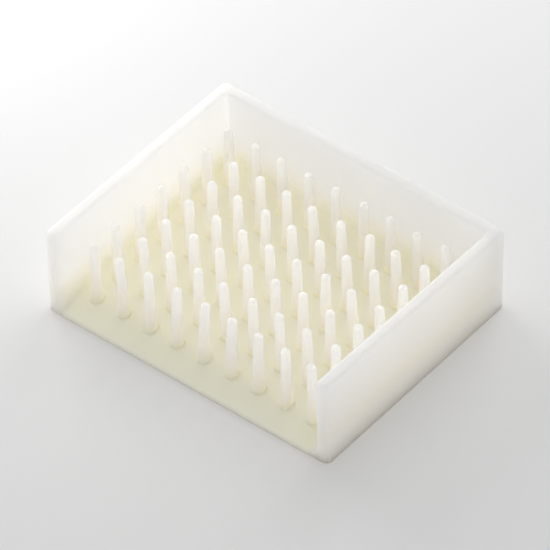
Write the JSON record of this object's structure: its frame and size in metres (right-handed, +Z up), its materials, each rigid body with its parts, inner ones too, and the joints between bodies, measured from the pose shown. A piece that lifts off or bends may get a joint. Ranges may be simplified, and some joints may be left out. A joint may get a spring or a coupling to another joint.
{
  "type": "silicone soap dish",
  "caption": "Low rectangular silicone soap dish, walled on three sides and open at the front, with a field of tapered pins that lift the bar and a ramp that drains water forward.",
  "frame": {"origin": "middle of the flat underside, on the surface that the dish stands on", "axes": "+X along the long side towards the right-hand end wall seen from the open front, -Y out of the open front, +Z up"},
  "size_m": [0.115, 0.091, 0.0335],
  "materials": {
    "silicone": "frosted, milky translucent silicone with a soft matt surface"
  },
  "bodies": {
    "root": {"pin_floor": "silicone", "left_end_wall": "silicone", "right_end_wall": "silicone", "back_wall": "silicone"}
  },
  "joints": []
}
